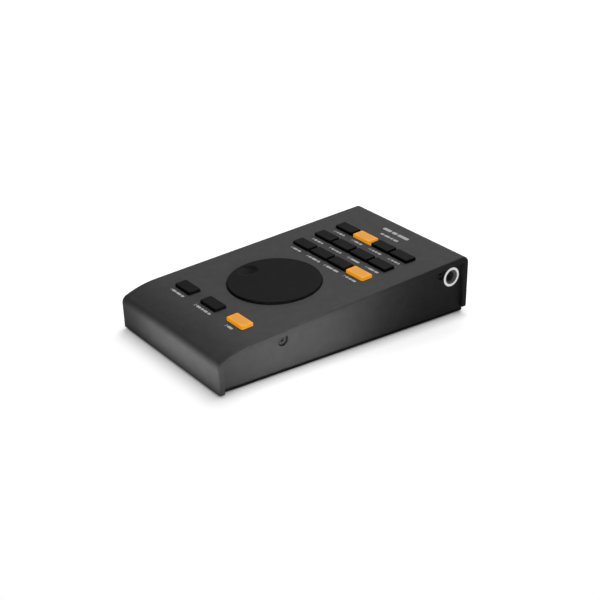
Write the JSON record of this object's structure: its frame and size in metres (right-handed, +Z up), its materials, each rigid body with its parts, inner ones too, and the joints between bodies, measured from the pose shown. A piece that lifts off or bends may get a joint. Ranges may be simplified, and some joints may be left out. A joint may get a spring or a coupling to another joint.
{
  "type": "audio interface remote control",
  "caption": "Desk remote with a wide wheel, short keys in rows and a foot-switch jack, in a bent cover between cheeks.",
  "frame": {"origin": "centre of the plan on the desk, under the feet", "axes": "+X to the right, the side with the jack; -Y to the front, where the wheel's end is low; +Z up"},
  "size_m": [0.108, 0.196, 0.0411],
  "materials": {
    "cover_paint": "fine matt grey",
    "cheek_paint": "fine matt grey",
    "base_paint": "matt black",
    "foot_rubber": "matt",
    "black_screw": "blackened",
    "circuit_board": "solder mask",
    "brass_spacer": "satin",
    "steel_screw": "zinc plated",
    "chip_black": "moulded",
    "frame_black": "moulded",
    "switch_black": "moulded",
    "led_lens": "clear resin",
    "wheel_black": "satin",
    "brass_bush": "turned",
    "shaft_steel": "turned",
    "actuator_white": "moulded",
    "encoder_black": "moulded",
    "usb_steel": "plated",
    "usb_insulator": "moulded",
    "contact_gilt": "plated",
    "jack_black": "moulded",
    "ring_white": "moulded",
    "lead_jacket": "sleeved",
    "cable_white": "film",
    "connector_cream": "moulded",
    "key_black": "satin",
    "key_orange": "lit from inside",
    "stem_white": "moulded"
  },
  "bodies": {
    "housing": {"top_cover": "cover_paint", "left_cheek": "cheek_paint", "right_cheek": "cheek_paint", "base_plate": "base_paint", "rubber_feet": "foot_rubber", "cheek_screws": "black_screw", "base_screws": "black_screw", "main_board": "circuit_board", "io_board": "circuit_board", "board_standoffs": "brass_spacer", "io_standoffs": "brass_spacer", "board_screws": "steel_screw", "board_chips": "chip_black", "key_frame": "frame_black", "switch_housings": "switch_black", "key_leds": "led_lens", "encoder_housing": "encoder_black", "usb_socket_shell": "usb_steel", "usb_socket_core": "usb_insulator", "usb_contacts": "contact_gilt", "jack_body": "jack_black", "jack_nut": "ring_white", "jack_contacts": "contact_gilt", "jack_leads": "lead_jacket", "flat_cable": "cable_white", "cable_connectors": "connector_cream"},
    "key_front_1": {"key_cap_front_1": "key_black", "key_stem_front_1": "stem_white"},
    "key_front_2": {"key_cap_front_2": "key_black", "key_stem_front_2": "stem_white"},
    "key_front_3": {"key_cap_front_3": "key_orange", "key_stem_front_3": "stem_white"},
    "key_row1_1": {"key_cap_row1_1": "key_black", "key_stem_row1_1": "stem_white"},
    "key_row1_2": {"key_cap_row1_2": "key_black", "key_stem_row1_2": "stem_white"},
    "key_row1_3": {"key_cap_row1_3": "key_black", "key_stem_row1_3": "stem_white"},
    "key_row1_4": {"key_cap_row1_4": "key_orange", "key_stem_row1_4": "stem_white"},
    "key_row2_1": {"key_cap_row2_1": "key_black", "key_stem_row2_1": "stem_white"},
    "key_row2_2": {"key_cap_row2_2": "key_black", "key_stem_row2_2": "stem_white"},
    "key_row2_3": {"key_cap_row2_3": "key_black", "key_stem_row2_3": "stem_white"},
    "key_row2_4": {"key_cap_row2_4": "key_black", "key_stem_row2_4": "stem_white"},
    "key_row3_1": {"key_cap_row3_1": "key_black", "key_stem_row3_1": "stem_white"},
    "key_row3_2": {"key_cap_row3_2": "key_orange", "key_stem_row3_2": "stem_white"},
    "key_row3_3": {"key_cap_row3_3": "key_black", "key_stem_row3_3": "stem_white"},
    "key_row3_4": {"key_cap_row3_4": "key_black", "key_stem_row3_4": "stem_white"},
    "wheel_push": {"encoder_push_actuator": "actuator_white"},
    "wheel": {"control_wheel": "wheel_black", "wheel_bush": "brass_bush", "encoder_shaft": "shaft_steel"}
  },
  "joints": [
    {"name": "key_front_1_press", "type": "slide", "parent": "housing", "child": "key_front_1", "axis": [0, 0.0741, -0.9973], "range_m": [0, 0.001], "stiffness_N_per_m": 400, "springref_m": -0.001},
    {"name": "key_front_2_press", "type": "slide", "parent": "housing", "child": "key_front_2", "axis": [0, 0.0741, -0.9973], "range_m": [0, 0.001], "stiffness_N_per_m": 400, "springref_m": -0.001},
    {"name": "key_front_3_press", "type": "slide", "parent": "housing", "child": "key_front_3", "axis": [0, 0.0741, -0.9973], "range_m": [0, 0.001], "stiffness_N_per_m": 400, "springref_m": -0.001},
    {"name": "key_row1_1_press", "type": "slide", "parent": "housing", "child": "key_row1_1", "axis": [0, 0.0741, -0.9973], "range_m": [0, 0.001], "stiffness_N_per_m": 400, "springref_m": -0.001},
    {"name": "key_row1_2_press", "type": "slide", "parent": "housing", "child": "key_row1_2", "axis": [0, 0.0741, -0.9973], "range_m": [0, 0.001], "stiffness_N_per_m": 400, "springref_m": -0.001},
    {"name": "key_row1_3_press", "type": "slide", "parent": "housing", "child": "key_row1_3", "axis": [0, 0.0741, -0.9973], "range_m": [0, 0.001], "stiffness_N_per_m": 400, "springref_m": -0.001},
    {"name": "key_row1_4_press", "type": "slide", "parent": "housing", "child": "key_row1_4", "axis": [0, 0.0741, -0.9973], "range_m": [0, 0.001], "stiffness_N_per_m": 400, "springref_m": -0.001},
    {"name": "key_row2_1_press", "type": "slide", "parent": "housing", "child": "key_row2_1", "axis": [0, 0.0741, -0.9973], "range_m": [0, 0.001], "stiffness_N_per_m": 400, "springref_m": -0.001},
    {"name": "key_row2_2_press", "type": "slide", "parent": "housing", "child": "key_row2_2", "axis": [0, 0.0741, -0.9973], "range_m": [0, 0.001], "stiffness_N_per_m": 400, "springref_m": -0.001},
    {"name": "key_row2_3_press", "type": "slide", "parent": "housing", "child": "key_row2_3", "axis": [0, 0.0741, -0.9973], "range_m": [0, 0.001], "stiffness_N_per_m": 400, "springref_m": -0.001},
    {"name": "key_row2_4_press", "type": "slide", "parent": "housing", "child": "key_row2_4", "axis": [0, 0.0741, -0.9973], "range_m": [0, 0.001], "stiffness_N_per_m": 400, "springref_m": -0.001},
    {"name": "key_row3_1_press", "type": "slide", "parent": "housing", "child": "key_row3_1", "axis": [0, 0.0741, -0.9973], "range_m": [0, 0.001], "stiffness_N_per_m": 400, "springref_m": -0.001},
    {"name": "key_row3_2_press", "type": "slide", "parent": "housing", "child": "key_row3_2", "axis": [0, 0.0741, -0.9973], "range_m": [0, 0.001], "stiffness_N_per_m": 400, "springref_m": -0.001},
    {"name": "key_row3_3_press", "type": "slide", "parent": "housing", "child": "key_row3_3", "axis": [0, 0.0741, -0.9973], "range_m": [0, 0.001], "stiffness_N_per_m": 400, "springref_m": -0.001},
    {"name": "key_row3_4_press", "type": "slide", "parent": "housing", "child": "key_row3_4", "axis": [0, 0.0741, -0.9973], "range_m": [0, 0.001], "stiffness_N_per_m": 400, "springref_m": -0.001},
    {"name": "wheel_press", "type": "slide", "parent": "housing", "child": "wheel_push", "axis": [0, 0.0741, -0.9973], "range_m": [0, 0.0005], "stiffness_N_per_m": 2000, "springref_m": -0.001},
    {"name": "wheel_turn", "type": "hinge", "parent": "wheel_push", "child": "wheel", "pos_m": [0, -0.019, 0.03287], "axis": [0, -0.0741, 0.9973], "continuous": true}
  ]
}
